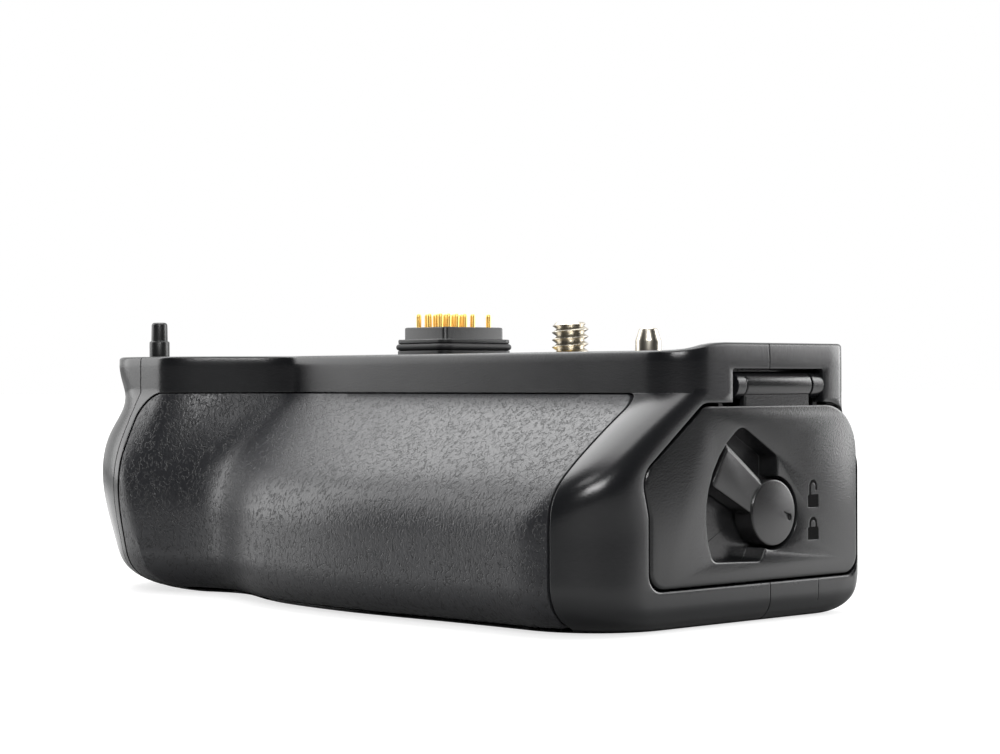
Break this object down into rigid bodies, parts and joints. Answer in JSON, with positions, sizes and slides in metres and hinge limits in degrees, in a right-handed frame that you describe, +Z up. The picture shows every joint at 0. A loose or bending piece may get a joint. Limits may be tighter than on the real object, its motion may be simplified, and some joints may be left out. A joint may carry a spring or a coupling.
{
  "type": "camera battery grip",
  "caption": "Vertical battery grip that screws under a camera, with a hinged battery door, turning latch, tripod screw driven by a thumbwheel, release button and dials.",
  "frame": {"origin": "mouth of the tripod socket in the base, on the axis of the tripod screw", "axes": "+X along the grip to the battery door, +Y to the rear, +Z up to the camera"},
  "size_m": [0.1428, 0.073, 0.0511],
  "materials": {
    "shell_plastic": "fine moulded texture, satin charcoal",
    "grip_skin": "leather-grain moulded rubber",
    "base_metal": "black powder coat",
    "black_plastic": "smooth black",
    "chamber_plastic": "as moulded, dark grey",
    "catch_plastic": "as moulded, orange",
    "seal_rubber": "soft black",
    "nickel": "turned and nickel plated",
    "gold": "gold plated",
    "bronze": "turned bronze",
    "steel": "plain steel",
    "wheel_metal": "black anodised",
    "board": "green solder mask"
  },
  "bodies": {
    "body": {"front_shell": "shell_plastic", "rear_shell": "shell_plastic", "top_plate": "shell_plastic", "grip_rubber": "grip_skin", "base_plate": "base_metal", "connector_housing": "black_plastic", "guide_peg": "black_plastic", "release_bezel": "black_plastic", "dial_seat": "black_plastic", "contact_block": "black_plastic", "release_switch": "black_plastic", "hinge_bracket": "black_plastic", "battery_chamber": "chamber_plastic", "gear_tray": "chamber_plastic", "connector_gasket": "seal_rubber", "button_pad": "seal_rubber", "guide_pin": "nickel", "tripod_socket": "nickel", "connector_pins": "gold", "battery_contacts": "gold", "screw_bush": "bronze", "hinge_pin": "steel", "catch_pin": "steel", "thumbwheel_axle": "steel", "dial_axle": "steel", "hinge_screws": "steel", "board_screws": "steel", "base_screws": "steel", "top_screws": "steel", "eject_spring": "steel", "release_spring": "steel", "main_board": "board", "button_board": "board"},
    "door": {"battery_door": "shell_plastic", "door_seal": "seal_rubber"},
    "latch": {"latch_knob": "black_plastic", "latch_cam": "steel", "latch_screw": "steel"},
    "catch": {"battery_catch": "catch_plastic"},
    "release": {"release_button": "black_plastic"},
    "ring_dial": {"front_dial": "black_plastic"},
    "thumb_dial": {"rear_dial": "black_plastic"},
    "fn_a": {"fn_button_a": "black_plastic"},
    "fn_b": {"fn_button_b": "black_plastic"},
    "lock": {"lock_slider": "black_plastic"},
    "wheel": {"thumbwheel": "wheel_metal"},
    "screw": {"tripod_screw": "nickel", "screw_gear": "steel"}
  },
  "joints": [
    {"name": "door_hinge", "type": "hinge", "parent": "body", "child": "door", "pos_m": [0.04172, 0.004, 0.038], "axis": [0, -1, 0], "range_deg": [0, 90]},
    {"name": "latch_turn", "type": "hinge", "parent": "door", "child": "latch", "pos_m": [0.041, 0.0024, 0.0175], "axis": [1, 0, 0], "range_deg": [0, 30]},
    {"name": "catch_pivot", "type": "hinge", "parent": "body", "child": "catch", "pos_m": [0.0258, -0.02245, 0.0155], "axis": [0, 0, -1], "range_deg": [0, 10], "stiffness_Nm_per_rad": 0.05},
    {"name": "release_press", "type": "slide", "parent": "body", "child": "release", "axis": [1, 0, 0], "range_m": [0, 0.0008], "stiffness_N_per_m": 600},
    {"name": "front_dial_turn", "type": "hinge", "parent": "body", "child": "ring_dial", "pos_m": [-0.095, -0.006, 0.021], "axis": [-1, 0, 0], "continuous": true},
    {"name": "rear_dial_turn", "type": "hinge", "parent": "body", "child": "thumb_dial", "pos_m": [-0.074, 0.024, 0.0155], "axis": [0, 1, 0], "continuous": true},
    {"name": "fn_a_press", "type": "slide", "parent": "body", "child": "fn_a", "axis": [0, -1, 0], "range_m": [0, 0.0008], "stiffness_N_per_m": 600},
    {"name": "fn_b_press", "type": "slide", "parent": "body", "child": "fn_b", "axis": [0, -1, 0], "range_m": [0, 0.0008], "stiffness_N_per_m": 600},
    {"name": "lock_slide", "type": "slide", "parent": "body", "child": "lock", "axis": [1, 0, 0], "range_m": [0, 0.003]},
    {"name": "thumbwheel_turn", "type": "hinge", "parent": "body", "child": "wheel", "pos_m": [0, 0.0135, 0.039], "axis": [0, 0, 1], "continuous": true},
    {"name": "screw_turn", "type": "hinge", "parent": "body", "child": "screw", "pos_m": [0, 0, 0.04], "axis": [0, 0, 1], "continuous": true}
  ],
  "couplings": [
    {"joint": "screw_turn", "follows": "thumbwheel_turn", "ratio": -1.5}
  ]
}
